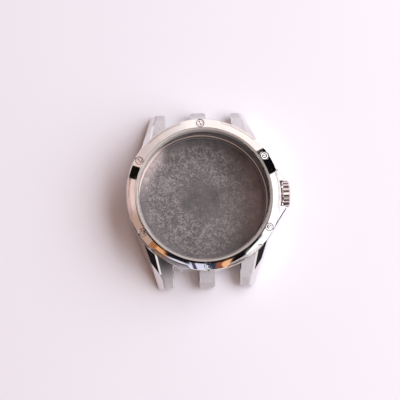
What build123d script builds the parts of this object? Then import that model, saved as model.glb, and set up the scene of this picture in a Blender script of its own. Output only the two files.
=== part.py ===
from build123d import *
import os
from math import acos, atan2, cos, radians, sin, sqrt, tan

# Empty wristwatch case in steel, millimetres
# The origin is the movement's axis at the outer face of the back
# +X points to the crown, +Y to twelve o'clock and +Z out through the crystal

os.makedirs("parts", exist_ok=True)

# Clearances
press_gap = 0.02
seat_gap = 0.05
running_gap = 0.05
overrun = 2.0

# Middle case
bore_radius = 19.1
case_wall = 2.55
flange_width = 0.95
flange_height = 2.4
flange_edge = 0.25
back_plate_height = 1.1
case_height = 7.05
case_chamfer = 0.25
under_bevel_width = 0.5
under_bevel_height = 1.1

# Lugs and centre tabs
lug_gap = 18.9
lug_tip_width = 4.25
lug_length = 3.65
lug_corner = 0.5
lug_shoulder_inset = 5.45
lug_end_length = 1.9
lug_crease_height = 3.7
lug_tip_height = 1.9
lug_foot = 0.9
lug_edge = 0.28
tab_width = 4.36
tab_lead = 0.3
tab_corner = 0.45
tab_end_length = 1.3
tab_crease_height = 3.3
flank_draft = 5.3
facet_root_width = 4.9
facet_end_width = 3.75
bevel_low_height = 6.35
bevel_low_angle = 38.0
bevel_end_share = 0.862
crease_share = 0.637
crease_inset = 0.5
crease_height = 4.64
bar_radius = 0.9
bar_pivot_radius = 0.6
bar_pivot_depth = 1.8
bar_height = 2.2
bar_setback = 2.5

# Bezel and its screws
bezel_overhang = 0.35
bezel_gasket_height = 0.3
bezel_height = 2.5
bezel_edge = 0.25
bezel_inner_edge = 0.07
bezel_foot_edge = 0.3
bezel_lip_width = 0.7
bezel_lip_depth = 0.5
screw_count = 6
screw_circle_share = 0.59
recess_depth = 0.9
recess_width = 1.05
recess_inner_half_angle = 13.8
recess_outer_half_angle = 16.3
recess_corner = 0.45
recess_edge = 0.18
screw_head_radius = 1.06
screw_head_height = 0.6
screw_head_gap = 0.13
screw_radius = 0.6
screw_reach = 3.0
screw_hole_room = 0.5
screw_dish_radius = 0.7
screw_dish_depth = 0.12
screw_slot_width = 0.32
screw_slot_depth = 0.28
screw_slot_angles = (25, 130, 75, 10, 100, 155)

# Crystal
crystal_seat_width = 0.25
crystal_seat_height = 0.75
crystal_height = 1.55
crystal_bevel_width = 0.5
crystal_bevel_height = 0.3
nylon_wall = 0.5
nylon_foot = 0.15
nylon_inset = 0.06

# Screwed back
back_margin = 0.45
back_rim_width = 3.8
back_step = 0.3
back_edge = 0.4
back_floor_height = 2.0
back_seat_width = 0.45
ring_section = 0.22
ring_room = 0.05
ring_sides = 8
back_screw_circle_share = 0.47
back_screw_radius = 0.5
back_screw_head_radius = 0.85
back_screw_head_height = 0.42
back_screw_head_gap = 0.08
back_screw_reach = 2.2
back_slot_width = 0.25
back_slot_depth = 0.2

# Crown, its tube and guards
crown_axis_drop = 2.4
crown_radius = 3.9
crown_gap = 0.35
crown_length = 2.35
crown_dome = 0.2
crown_dish_radius = 2.9
crown_edge = 0.35
crown_flutes = 18
flute_radius = 0.42
flute_depth_share = 0.62
crown_floor = 0.55
post_radius = 0.8
post_inset = 0.3
post_seat = 0.3
stem_hole_radius = 0.35
stem_hole_depth = 2.2
tube_wall = 0.4
tube_inset = 0.1
tube_collar = 0.35
tube_collar_height = 0.6
tube_nose_room = 0.1
crown_seat_depth = 0.4
crown_recess_wall = 0.72
washer_gap = 0.08
washer_height = 0.3
washer_inset = 0.1
pocket_room = 0.3
guard_reach = 1.8
guard_peak_y = 4.6
guard_root_angle = 30.5
guard_top_drop = 0.5
guard_bottom_rise = 0.7
guard_edge = 0.3

# Sizes worked out from those above
barrel_radius = bore_radius + case_wall
bezel_radius = barrel_radius + bezel_overhang
case_bottom = back_plate_height + seat_gap
case_top = case_bottom + case_height
bezel_bottom = case_top + bezel_gasket_height
bezel_top = bezel_bottom + bezel_height
screw_circle = bore_radius + case_wall * screw_circle_share
lug_inner = lug_gap / 2
lug_tip_x = lug_inner + lug_tip_width
lug_reach = barrel_radius + lug_length
lug_shoulder = barrel_radius - lug_shoulder_inset
lug_crease = lug_reach - lug_end_length
tab_reach = lug_reach + tab_lead
tab_crease = tab_reach - tab_end_length
crystal_seat_radius = bore_radius + crystal_seat_width
crystal_shoulder = bezel_bottom + crystal_seat_height
nylon_outer = crystal_seat_radius - press_gap
nylon_inner = nylon_outer - nylon_wall
crystal_radius = nylon_inner - press_gap
crystal_bottom = crystal_shoulder + nylon_foot
crystal_top = crystal_bottom + crystal_height
lip_outer = bore_radius - seat_gap
lip_inner = lip_outer - bezel_lip_width
flange_radius = bore_radius - flange_width
flange_top = case_bottom + flange_height
back_seat_radius = flange_radius + back_seat_width
spigot_radius = back_seat_radius - seat_gap
back_radius = barrel_radius - back_margin
back_boss_radius = back_radius - back_rim_width
back_screw_circle = flange_radius + (barrel_radius - flange_radius) * back_screw_circle_share
tube_bore = post_radius + running_gap
tube_radius = tube_bore + tube_wall
crown_axis_height = case_top - crown_axis_drop
guard_peak_x = barrel_radius + guard_reach
crown_start = bezel_radius + crown_gap
crown_face = crown_start + crown_length
crown_floor_x = crown_face - crown_floor
crown_recess = tube_radius + crown_recess_wall
crown_seat_x = crown_start - crown_seat_depth
bezel_screw_angles = [90 - 360 / screw_count * turn for turn in range(screw_count)]
recess_angles = [angle + 180 / screw_count for angle in bezel_screw_angles]


def turned(points):
    """Turn a closed outline of radius and height points about Z."""
    outline = Polyline(*[(radius, 0, height) for radius, height in points], close=True)
    return revolve(make_face(outline), Axis.Z)


def drum(radius, low, high):
    """A round bar about Z between two heights."""
    return Pos(0, 0, low) * extrude(Circle(radius), high - low)


def prism(points, low, high):
    """Raise a closed outline of X and Y points from one height to another."""
    return Pos(0, 0, low) * extrude(make_face(Polyline(*points, close=True)), high - low, dir=(0, 0, 1))


def around(shape, radius, angles):
    """Copies of a shape standing on a circle about Z."""
    return [Rot(0, 0, angle) * Pos(radius, 0, 0) * shape for angle in angles]


def cross_bar(radius, half_length, y, height):
    """A round bar along X, centred on the twelve to six line."""
    return Pos(0, y, height) * Rot(0, 90, 0) * drum(radius, -half_length, half_length)


def on_crown_axis(shape):
    """Lay a shape that was made about Z along the crown's axis."""
    return Pos(0, 0, crown_axis_height) * Rot(0, 90, 0) * shape


def four_ways(shape):
    """A shape and its mirror images at all four corners of the case."""
    pair = [shape, mirror(shape, Plane.YZ)]
    return pair + [mirror(one, Plane.XZ) for one in pair]


def two_ways(shape):
    """A shape at twelve o'clock and its mirror image at six."""
    return [shape, mirror(shape, Plane.XZ)]


def slope_outline(reach, crease, crease_height, tip_height):
    """Side outline of a lug or tab: flat shoulder, long slope, crease and steeper end."""
    return [(0, case_bottom), (0, case_top), (lug_shoulder, case_top),
            (crease, case_bottom + crease_height), (reach, case_bottom + tip_height),
            (reach, lug_foot + lug_edge), (reach - lug_edge, lug_foot), (barrel_radius, case_bottom)]


def sloped(outline, half_width):
    """Sweep a side outline of Y and Z points across X."""
    face = make_face(Polyline(*[(-half_width, y, z) for y, z in outline], close=True))
    return extrude(face, 2 * half_width, dir=(1, 0, 0))


def slope_height(y):
    """Height of the lug's top at a distance from the centre: long slope, then steeper end."""
    crease_z = case_bottom + lug_crease_height
    if y < lug_crease:
        return crease_z + (case_top - crease_z) * (lug_crease - y) / (lug_crease - lug_shoulder)
    return crease_z - (lug_crease_height - lug_tip_height) * (y - lug_crease) / lug_end_length


def flank_inset(height):
    """How far the leaning flank has moved in at a height above the lug's foot."""
    return height * tan(radians(flank_draft))


def lug_plan():
    """Outline of the lug at one o'clock, its flank tangent to the barrel."""
    corner = (lug_tip_x, lug_reach - lug_corner)
    span = sqrt(corner[0] ** 2 + corner[1] ** 2)
    touch = atan2(corner[1], corner[0]) - acos(barrel_radius / span)
    touch_point = (barrel_radius * cos(touch), barrel_radius * sin(touch))
    return [(lug_inner, touch_point[1]), touch_point, corner, (lug_tip_x - lug_corner, lug_reach),
            (lug_inner, lug_reach)]


def below_plane(shape, points):
    """Keep the part of a shape on the case's side of a plane through three points."""
    first, second, third = [Vector(*point) for point in points]
    normal = (second - first).cross(third - first)
    if normal.Z < 0:
        normal = -normal
    return split(shape, Plane(origin=first, z_dir=normal), keep=Keep.BOTTOM)


def lug():
    """The lug at one o'clock: brushed slope, wide outer bevel and leaning flank."""
    plan = lug_plan()
    side = slope_outline(lug_reach, lug_crease, lug_crease_height, lug_tip_height)
    body = prism(plan, lug_foot - overrun, case_top + overrun) & sloped(side, barrel_radius)
    touch, corner = plan[1], plan[2]
    run = (corner[0] - touch[0], corner[1] - touch[1])
    length = sqrt(run[0] ** 2 + run[1] ** 2)
    lean = flank_inset(case_height)
    inward = (touch[0] - run[1] / length * lean, touch[1] + run[0] / length * lean)
    body = below_plane(body, [(*touch, lug_foot), (*corner, lug_foot), (*inward, lug_foot + case_height)])
    root_x = lug_inner + facet_root_width
    root_y = sqrt(bezel_radius ** 2 - root_x ** 2)
    end_y = lug_reach * bevel_end_share
    low_angle = radians(bevel_low_angle)
    low = (bezel_radius * cos(low_angle), bezel_radius * sin(low_angle), case_bottom + bevel_low_height)
    root = (root_x, root_y, slope_height(root_y))
    end = (lug_inner + facet_end_width, end_y, slope_height(end_y))
    body = below_plane(body, [root, end, low])
    crease = (touch[0] + run[0] * crease_share - run[1] / length * crease_inset,
              touch[1] + run[1] * crease_share + run[0] / length * crease_inset, case_bottom + crease_height)
    body = below_plane(body, [end, crease, (*corner, lug_foot)])
    inner_edges = body.edges().filter_by(lambda edge: abs(edge.center().X - lug_inner) < press_gap
                                         and edge.center().Y > lug_shoulder
                                         and edge.center().Z > case_bottom + lug_tip_height)
    return chamfer(inner_edges, lug_edge)


def tab():
    """The narrow centre tab at twelve o'clock that keys into the strap."""
    half = tab_width / 2
    plan = [(-half, 0), (half, 0), (half, tab_reach - tab_corner), (half - tab_corner, tab_reach),
            (tab_corner - half, tab_reach), (-half, tab_reach - tab_corner)]
    side = slope_outline(tab_reach, tab_crease, tab_crease_height, lug_tip_height)
    return prism(plan, lug_foot - overrun, case_top) & sloped(side, barrel_radius)


def crown_guards():
    """The two shoulders beside the crown, with the pocket between them."""
    root = radians(guard_root_angle)
    root_point = (bezel_radius * cos(root), bezel_radius * sin(root))
    plan = [(0, 0), (root_point[0], -root_point[1]), (guard_peak_x, -guard_peak_y),
            (guard_peak_x, guard_peak_y), root_point]
    low = case_bottom + guard_bottom_rise
    high = case_top - guard_top_drop
    body = prism(plan, low, high)
    rims = body.edges().filter_by(lambda edge: edge.center().X > barrel_radius * cos(root)
                                  and min(abs(edge.center().Z - z) for z in (low, high)) < press_gap)
    body = chamfer(rims, guard_edge)
    pocket = drum(crown_radius + pocket_room, crown_seat_x, guard_peak_x + overrun)
    return body - on_crown_axis(pocket)


def mid_case():
    """The middle of the case: barrel, four lugs, two tabs and the crown guards."""
    barrel = turned([
        (0, case_bottom), (barrel_radius - under_bevel_width, case_bottom),
        (barrel_radius, case_bottom + under_bevel_height), (barrel_radius, case_top - case_chamfer),
        (barrel_radius - case_chamfer, case_top), (0, case_top)])
    body = barrel + four_ways(lug()) + two_ways(tab()) + crown_guards()
    seat = turned([
        (0, case_bottom - overrun), (flange_radius, case_bottom - overrun),
        (flange_radius, flange_top - flange_edge), (flange_radius + flange_edge, flange_top),
        (bore_radius, flange_top), (bore_radius, case_top + overrun), (0, case_top + overrun)])
    cuts = [seat, drum(back_seat_radius, case_bottom - overrun, back_floor_height + seat_gap)]
    cuts.append(drum(spigot_radius + 2 * ring_section + ring_room, case_bottom - overrun,
                     back_plate_height + 2 * ring_section + 2 * ring_room))
    cuts += around(drum(screw_radius + press_gap, case_top - screw_reach - screw_hole_room,
                        case_top + overrun), screw_circle, bezel_screw_angles)
    cuts += around(drum(back_screw_radius + running_gap, case_bottom - overrun,
                        case_bottom + back_screw_reach + press_gap), back_screw_circle, recess_angles)
    bar_y = lug_reach - bar_setback
    bar_z = case_bottom + bar_height
    cuts += two_ways(cross_bar(bar_radius, tab_width, bar_y, bar_z))
    cuts += two_ways(cross_bar(bar_pivot_radius, lug_inner + bar_pivot_depth, bar_y, bar_z))
    cuts.append(on_crown_axis(drum(tube_radius + press_gap, 0, crown_start)))
    cuts.append(on_crown_axis(drum(tube_radius + tube_collar + press_gap, crown_seat_x - tube_collar_height,
                                   crown_start)))
    return body - cuts


def mirrored_points(radius, half_angle):
    """Two points on a circle, the same angle below and above the X axis."""
    turn = radians(half_angle)
    return [(radius * cos(turn), side * radius * sin(turn)) for side in (-1, 1)]


def recess_cut():
    """One of the bezel's sunk arcs, its ends leaning outwards and its edge bevelled."""
    inner = bezel_radius - recess_width
    outer = bezel_radius + overrun
    lean = (recess_outer_half_angle - recess_inner_half_angle) / recess_width
    ends = mirrored_points(inner, recess_inner_half_angle)
    tips = mirrored_points(outer, recess_inner_half_angle + lean * (outer - inner))
    arc = ThreePointArc(ends[0], (inner, 0), ends[1])
    plan = make_face([arc, Line(ends[1], tips[1]), Line(tips[1], tips[0]), Line(tips[0], ends[0])])
    corners = plan.vertices().filter_by(lambda vertex: vertex.X < inner)
    plan = fillet(corners, recess_corner)
    floor = bezel_top - recess_depth
    rim = turned([
        (inner - overrun, floor), (bezel_radius - recess_edge, floor), (bezel_radius, floor - recess_edge),
        (outer + overrun, floor - recess_edge), (outer + overrun, bezel_top + overrun),
        (inner - overrun, bezel_top + overrun)])
    return (Pos(0, 0, floor - overrun) * extrude(plan, 2 * overrun + recess_depth)) & rim


def bezel():
    """The polished top ring with six sunk arcs and six counterbored screw holes."""
    lip_low = case_top - bezel_lip_depth
    body = turned([
        (lip_inner, lip_low), (lip_outer, lip_low), (lip_outer, bezel_bottom),
        (bezel_radius - bezel_foot_edge, bezel_bottom), (bezel_radius, bezel_bottom + bezel_foot_edge),
        (bezel_radius, bezel_top - bezel_edge), (bezel_radius - bezel_edge, bezel_top),
        (crystal_seat_radius + bezel_inner_edge, bezel_top),
        (crystal_seat_radius, bezel_top - bezel_inner_edge),
        (crystal_seat_radius, crystal_shoulder), (lip_inner, crystal_shoulder)])
    head_seat = bezel_top - screw_head_height
    hole = drum(screw_radius + press_gap, case_top, bezel_top)
    hole += drum(screw_head_radius + screw_head_gap, head_seat, bezel_top + overrun)
    cuts = around(recess_cut(), 0, recess_angles) + around(hole, screw_circle, bezel_screw_angles)
    return body - cuts


def slot_cut(width, depth, length, top):
    """A screwdriver slot across a head."""
    return Pos(0, 0, top) * Box(length, width, 2 * depth)


def bezel_screws():
    """Six slotted screws; each head has a rim round a shallow dish."""
    screws = []
    head_seat = bezel_top - screw_head_height
    dish_floor = bezel_top - screw_dish_depth
    slot = slot_cut(screw_slot_width, screw_slot_depth, 2 * screw_dish_radius, dish_floor)
    for angle, slot_angle in zip(bezel_screw_angles, screw_slot_angles):
        screw = drum(screw_head_radius, head_seat, bezel_top)
        screw += drum(screw_radius, case_top - screw_reach, head_seat)
        screw -= [drum(screw_dish_radius, dish_floor, bezel_top + overrun), Rot(0, 0, slot_angle) * slot]
        screws += around(screw, screw_circle, [angle])
    return screws


def bezel_gasket():
    """Flat black gasket under the bezel, pierced by the screws."""
    low, high = case_top - overrun, bezel_bottom + overrun
    ring = drum(barrel_radius - case_chamfer, case_top, bezel_bottom) - drum(bore_radius, low, high)
    return ring - around(drum(screw_radius + seat_gap, low, high), screw_circle, bezel_screw_angles)


def crystal():
    """Flat watch glass with a bevelled upper edge."""
    return turned([(0, crystal_bottom), (crystal_radius, crystal_bottom),
                   (crystal_radius, crystal_top - crystal_bevel_height),
                   (crystal_radius - crystal_bevel_width, crystal_top), (0, crystal_top)])


def crystal_gasket():
    """White nylon ring that grips the glass, with a foot under its edge."""
    top = bezel_top - nylon_inset
    foot = lip_inner + press_gap
    return turned([(foot, crystal_shoulder), (nylon_outer, crystal_shoulder), (nylon_outer, top),
                   (nylon_inner, top), (nylon_inner, crystal_bottom), (foot, crystal_bottom)])


def pressed_section(radius):
    """Section of a rubber ring pressed flat on four sides."""
    section = RegularPolygon(radius, ring_sides, major_radius=False)
    return Rot(90, 0, 0) * Rot(0, 0, 180 / ring_sides) * section


def case_back():
    """Back plate with a raised centre boss outside and a spigot that fills the case's opening."""
    body = turned([
        (0, 0), (back_boss_radius, 0), (back_boss_radius + back_step, back_step),
        (back_radius - back_edge, back_step), (back_radius, back_step + back_edge),
        (back_radius, back_plate_height), (spigot_radius, back_plate_height),
        (spigot_radius, back_floor_height), (0, back_floor_height)])
    seat = back_step + back_screw_head_height
    hole = drum(back_screw_radius + press_gap, 0, back_floor_height)
    hole += drum(back_screw_head_radius + back_screw_head_gap, -overrun, seat)
    return body - around(hole, back_screw_circle, recess_angles)


def back_gasket():
    """Rubber ring round the spigot of the back."""
    reach = ring_section + press_gap
    place = Pos(spigot_radius + reach, 0, back_plate_height + reach)
    return revolve(place * pressed_section(ring_section), Axis.Z)


def back_screws():
    """Six small slotted screws that hold the back."""
    screws = []
    seat = back_step + back_screw_head_height
    slot = slot_cut(back_slot_width, back_slot_depth, 2 * back_screw_head_radius + overrun, back_step)
    for angle, slot_angle in zip(recess_angles, screw_slot_angles):
        screw = drum(back_screw_head_radius, back_step, seat)
        screw += drum(back_screw_radius, seat, case_bottom + back_screw_reach)
        screw -= Rot(0, 0, slot_angle) * slot
        screws += around(screw, back_screw_circle, [angle])
    return screws


def crown_tube():
    """Steel tube pressed through the case wall; the crown runs on its nose."""
    start = bore_radius + tube_inset
    collar = crown_seat_x - tube_collar_height
    nose = crown_floor_x - tube_nose_room
    return on_crown_axis(turned([
        (tube_bore, start), (tube_radius, start), (tube_radius, collar + press_gap),
        (tube_radius + tube_collar, collar + press_gap), (tube_radius + tube_collar, crown_seat_x),
        (tube_radius, crown_seat_x), (tube_radius, nose), (tube_bore, nose)]))


def crown():
    """Coarsely fluted crown with a shallow domed face."""
    left, right = (-crown_dish_radius, 0, crown_face), (crown_dish_radius, 0, crown_face)
    cap = make_face([ThreePointArc(right, (0, 0, crown_face + crown_dome), left), Line(left, right)])
    dome = revolve(split(cap, Plane.YZ, keep=Keep.TOP), Axis.Z)
    rim = crown_radius - crown_edge
    head = turned([
        (0, crown_start), (rim, crown_start), (crown_radius, crown_start + crown_edge),
        (crown_radius, crown_face - crown_edge), (rim, crown_face), (0, crown_face)])
    flute = drum(flute_radius, crown_start - overrun, crown_face + overrun)
    flute_circle = crown_radius + flute_radius * (1 - flute_depth_share)
    cuts = around(flute, flute_circle, [360 / crown_flutes * turn for turn in range(crown_flutes)])
    cuts.append(drum(crown_recess, crown_start - overrun, crown_floor_x))
    cuts.append(drum(post_radius + press_gap, crown_start - overrun, crown_floor_x + post_seat))
    return on_crown_axis(head + dome - cuts)


def crown_post():
    """Threaded post pressed into the crown; a winding stem screws into its end."""
    end = crown_floor_x + post_seat - press_gap
    start = bore_radius + tube_inset + post_inset
    post = drum(post_radius, start, end) - drum(stem_hole_radius, start - overrun, start + stem_hole_depth)
    return on_crown_axis(post)


def crown_washer():
    """Thin washer pressed into the crown to keep its rubber ring in."""
    low = crown_start + washer_inset
    outer = crown_recess - press_gap
    return on_crown_axis(drum(outer, low, low + washer_height)
                         - drum(tube_radius + washer_gap, low - overrun, low + washer_height + overrun))


def crown_gasket():
    """Rubber ring in the crown that grips the tube."""
    inner = tube_radius + press_gap
    section = (crown_recess - press_gap - inner) / 2
    height = crown_start + washer_inset + washer_height + section + press_gap
    return on_crown_axis(revolve(Pos(inner + section, 0, height) * pressed_section(section), Axis.Z))


pieces = {
    "mid_case": mid_case(),
    "bezel": bezel(),
    "bezel_screws": bezel_screws(),
    "bezel_gasket": bezel_gasket(),
    "crystal": crystal(),
    "crystal_gasket": crystal_gasket(),
    "case_back": case_back(),
    "back_gasket": back_gasket(),
    "back_screws": back_screws(),
    "crown_tube": crown_tube(),
    "crown": crown(),
    "crown_post": crown_post(),
    "crown_washer": crown_washer(),
    "crown_gasket": crown_gasket(),
}

for name, piece in pieces.items():
    shapes = piece if isinstance(piece, list) else [piece]
    solids = [solid for shape in shapes for solid in shape.solids()]
    export_step(Compound(children=solids), f"parts/{name}.step")
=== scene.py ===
"""Finish and studio for an empty wristwatch case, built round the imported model."""

import itertools
import math

import bmesh
import bpy
from bpy.props import FloatProperty, FloatVectorProperty, IntProperty, PointerProperty
from mathutils import Matrix, Vector


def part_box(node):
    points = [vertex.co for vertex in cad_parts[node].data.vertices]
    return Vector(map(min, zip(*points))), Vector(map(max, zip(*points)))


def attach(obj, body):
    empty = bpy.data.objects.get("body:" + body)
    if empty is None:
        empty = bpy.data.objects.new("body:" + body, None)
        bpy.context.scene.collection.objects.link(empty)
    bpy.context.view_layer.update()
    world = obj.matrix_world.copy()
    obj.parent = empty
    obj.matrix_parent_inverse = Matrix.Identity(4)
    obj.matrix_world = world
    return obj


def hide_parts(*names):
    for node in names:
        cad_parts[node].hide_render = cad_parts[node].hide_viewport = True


bl_info = {
    "name": "Empty Watch Case",
    "version": (1, 0, 0),
    "blender": (4, 5, 0),
    "location": "3D View > Sidebar > Watch Case",
    "description": "Finishes the parts of an empty wristwatch case and sets up its studio",
    "category": "Object",
}

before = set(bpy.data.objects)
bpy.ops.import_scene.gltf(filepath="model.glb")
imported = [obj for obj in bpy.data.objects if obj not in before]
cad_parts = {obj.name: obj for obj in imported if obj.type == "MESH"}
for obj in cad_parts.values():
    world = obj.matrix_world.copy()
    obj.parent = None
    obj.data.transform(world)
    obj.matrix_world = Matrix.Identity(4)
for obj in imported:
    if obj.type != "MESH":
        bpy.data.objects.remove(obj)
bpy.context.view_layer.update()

MM = 0.001
FULL_TURN = 2 * math.pi

# Mesh tolerances: distances, angles, an area and the upward share of a level face's normal
WELD = 0.002 * MM
FINE_WELD = WELD / 10
FLAT = math.radians(0.35)
SLIGHT = math.radians(2)
SHARP = math.radians(14)
ROUNDED = math.radians(28)
LARGE_FLAT = 8 * MM * MM
LEVEL = 0.99995

case_low, case_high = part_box("mid_case")
bezel_low, bezel_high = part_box("bezel")
crown_low, crown_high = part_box("crown")
screw_low, screw_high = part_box("bezel_screws")
glass_low, glass_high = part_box("crystal")
ring_low, ring_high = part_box("crystal_gasket")
back_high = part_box("case_back")[1]
back_screw_low, back_screw_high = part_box("back_screws")

bezel_radius = bezel_high.x
bezel_top = bezel_high.z
crown_axis = (crown_low.z + crown_high.z) / 2
crown_radius = crown_high.y


def length(name, text, default):
    """A length setting, given in millimetres."""
    return FloatProperty(name=name, description=text, default=default * MM, unit="LENGTH", precision=5)


def place(name, text, default):
    """A place setting, given in millimetres."""
    return FloatVectorProperty(name=name, description=text, default=[side * MM for side in default],
                               subtype="TRANSLATION", precision=4)


def turn(name, text, default):
    """An angle setting, given in degrees."""
    return FloatProperty(name=name, description=text, default=math.radians(default), subtype="ANGLE")


def number(name, text, default, **limits):
    """A plain number setting."""
    return FloatProperty(name=name, description=text, default=default, **limits)


def count(name, text, default, least=1):
    """A whole number setting."""
    return IntProperty(name=name, description=text, default=default, min=least)


def colour(name, text, default):
    """A colour setting in linear red, green and blue."""
    return FloatVectorProperty(name=name, description=text, default=default, subtype="COLOR", size=3,
                               min=0.0, max=1.0)


class CaseSizes(bpy.types.PropertyGroup):
    """Edges of the middle case and the back, where its finishes change, and where painted shade darkens a
    lug.
    """
    edge: length("Edge", "Rounding of the case's outer edges", 0.07)
    strip: length("Polished strip", "Width of the bright strip beside each brushed slope", 0.3)
    bore: length("Bore", "Radius within which the walls are turned", 19.3)
    lug_inner: length("Lug inner side", "From the middle to a lug's inner side", 9.3)
    lug_outer: length("Lug outer part", "From the middle to the part with bright strips", 10.3)
    lug_root: length("Lug root", "From the axis to where a lug's slope starts", 14.0)
    lug_tip: length("Lug tip", "From the axis to where a lug's tip starts", 21.9)
    tab_half: length("Half tab", "Half of a centre tab's width", 2.4)
    tab_root: length("Tab root", "From the axis to where a tab's slope starts", 21.5)
    # Painted shade on the lug slopes: their colour darkens round this place, out to this reach
    painted_shade_place: place("Painted shade place", "Where painted shade darkens a lug most", (-12.0, -18.0, 7.4))
    painted_shade_reach: length("Painted shade reach", "How far the painted shade reaches", 8.5)
    back_edge: length("Back edge", "Rounding of the back's edges", 0.05)
    flange_pitch: length("Flange pitch", "From ring to ring on the movement's flange", 0.8)
    wall_pitch: length("Wall pitch", "From ring to ring down the inside wall", 1.15)


class BezelSizes(bpy.types.PropertyGroup):
    """Bezel edges and the screw heads."""
    edge: length("Edge", "Rounding of the bezel's edges", 0.05)
    arc_edge: length("Arc edge", "Polished edge round each sunk arc", 0.1)
    arc_depth: length("Arc depth", "Depth of the sunk arcs", 0.9)
    arc_width: length("Arc width", "Width of the sunk arcs", 1.05)
    head_radius: length("Head radius", "Radius of a bezel screw's head", 1.06)
    head_height: length("Head height", "Height of a bezel screw's head", 0.6)
    shank_radius: length("Shank radius", "Radius of a bezel screw's shank", 0.6)
    ring_radius: length("Ring radius", "Outer radius of the ring groove in the head", 0.72)
    ring_width: length("Ring width", "Width of the ring groove", 0.1)
    ring_depth: length("Ring depth", "Depth of the ring groove", 0.15)
    dome: length("Dome", "Fall of the domed middle from its centre to its edge", 0.0004)
    slot_width: length("Slot width", "Width of the driver's slot", 0.2)
    slot_depth: length("Slot depth", "Depth of the driver's slot", 0.28)
    screw_count: count("Screws", "Screws round the bezel", 6)


class GlassSizes(bpy.types.PropertyGroup):
    """Watch glass and the nylon ring that grips it."""
    edge: length("Edge", "Rounding of the glass's edges", 0.03)
    bevel_width: length("Bevel width", "Width of the glass's upper bevel", 0.2)
    bevel_height: length("Bevel height", "Height of the glass's upper bevel", 0.12)
    ring_wall: length("Ring wall", "Wall of the nylon ring", 0.5)
    ring_foot: length("Ring foot", "Thickness of the foot under the glass", 0.15)
    ring_groove: length("Ring groove", "Depth of the fine grooves in the ring's top", 0.25)
    ring_fall: length("Ring fall", "Drop of the ring's top towards the glass", 0.06)
    groove_count: count("Grooves", "Fine grooves in the ring's top", 2)


class CrownSizes(bpy.types.PropertyGroup):
    """Crown with its flutes and recess."""
    flutes: count("Flutes", "Grooves round the crown", 18, least=3)
    flute_depth: length("Flute depth", "Depth of each groove", 0.26)
    # Deeper than this share of a groove's depth, the crown gets painted shade
    unshaded_share: number("Unshaded share", "Share of a groove's depth left without painted shade", 0.5)
    flute_steps: count("Flute steps", "Points across one groove and land", 14)
    edge: length("Edge", "Chamfer at both ends of the crown", 0.35)
    face_radius: length("Face radius", "Radius of the domed face", 2.9)
    dome: length("Dome", "Height of the domed face", 0.2)
    recess_radius: length("Recess radius", "Radius of the recess for the tube", 1.97)
    floor_thickness: length("Floor", "Metal left in front of the recess", 0.55)
    post_radius: length("Post radius", "Radius of the hole for the post", 0.82)
    post_seat: length("Post seat", "Depth of the hole for the post", 0.3)


class BackScrewSizes(bpy.types.PropertyGroup):
    """Small screws of the back."""
    head_radius: length("Head radius", "Radius of a back screw's head", 0.85)
    head_height: length("Head height", "Height of a back screw's head", 0.42)
    shank_radius: length("Shank radius", "Radius of a back screw's shank", 0.5)
    slot_width: length("Slot width", "Width of the driver's slot", 0.25)
    slot_depth: length("Slot depth", "Depth of the driver's slot", 0.2)


class Finishes(bpy.types.PropertyGroup):
    """Colours of the metals, plastic, rubber and glass."""
    polished: colour("Polished steel", "Mirror steel of bezel, bevels and flanks", (0.80, 0.765, 0.76))
    brushed: colour("Brushed steel", "Satin steel of the lug slopes and tabs", (0.60, 0.565, 0.57))
    arc: colour("Arc steel", "Floors of the bezel's sunk arcs", (0.74, 0.68, 0.665))
    inner: colour("Inner steel", "Turned steel of the inside walls", (0.24, 0.205, 0.20))
    # The flange tone is the lit tone of its painted highlight rings
    flange: colour("Flange steel", "Flange that carries the movement", (1.0, 0.76, 0.64))
    floor_dark: colour("Floor, dark", "Darker mottling of the back's inside", (0.052, 0.041, 0.038))
    floor_light: colour("Floor, light", "Lighter mottling of the back's inside", (0.25, 0.208, 0.194))
    back: colour("Back steel", "Outer face of the back", (0.56, 0.54, 0.54))
    screw: colour("Screw steel", "Bezel and back screws", (0.84, 0.80, 0.79))
    crown: colour("Crown steel", "Crown with its flutes", (0.74, 0.66, 0.64))
    # Groove: painted shade in the bottoms of the crown's grooves
    groove: colour("Groove", "Painted shade in the bottoms of the crown's grooves", (0.13, 0.075, 0.065))
    nylon: colour("Nylon", "Ring round the glass", (0.59, 0.515, 0.455))
    rubber: colour("Rubber", "Gaskets", (0.022, 0.021, 0.022))
    # Recess: painted shade in the screws' slots and grooves, the counterbores and the arcs' walls
    recess: colour("Recess", "Painted shade in the recesses of the screws", (0.035, 0.03, 0.03))


class StudioSettings(bpy.types.PropertyGroup):
    """Table, lamp, room and camera."""
    table: colour("Table", "Pale table top", (0.86, 0.83, 0.85))
    table_half: length("Half table", "Half of the table's width", 1500)
    room: colour("Room", "Even light of the room", (1.0, 0.66, 0.56))
    room_strength: number("Room strength", "Strength of the even light", 0.36)
    window: colour("Window", "Colour of the window light", (0.82, 0.89, 1.0))
    window_power: number("Window power", "Power of the window light", 17.6, unit="POWER")
    window_place: place("Window place", "Where the window light stands", (663, 93, 602))
    window_width: length("Window width", "Width of the window light", 1700)
    window_height: length("Window height", "Height of the window light", 880)
    camera_distance: length("Camera distance", "From the bezel's centre to the camera", 400)
    camera_turn: turn("Turn", "Turn of the case on the table", 20.986)
    camera_tilt: turn("Tilt", "Tilt away from straight down", -12.326)
    camera_roll: turn("Roll", "Roll of the picture", -18.149)
    camera_aside: length("Aside", "Sideways offset of the camera's axis", 1.18528)
    camera_raise: length("Raise", "Upward offset of the camera's axis", 1.77997)
    focal_ratio: number("Focal ratio", "Focal length over the picture's width", 1418.41 / 400)


# Shader helpers


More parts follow.
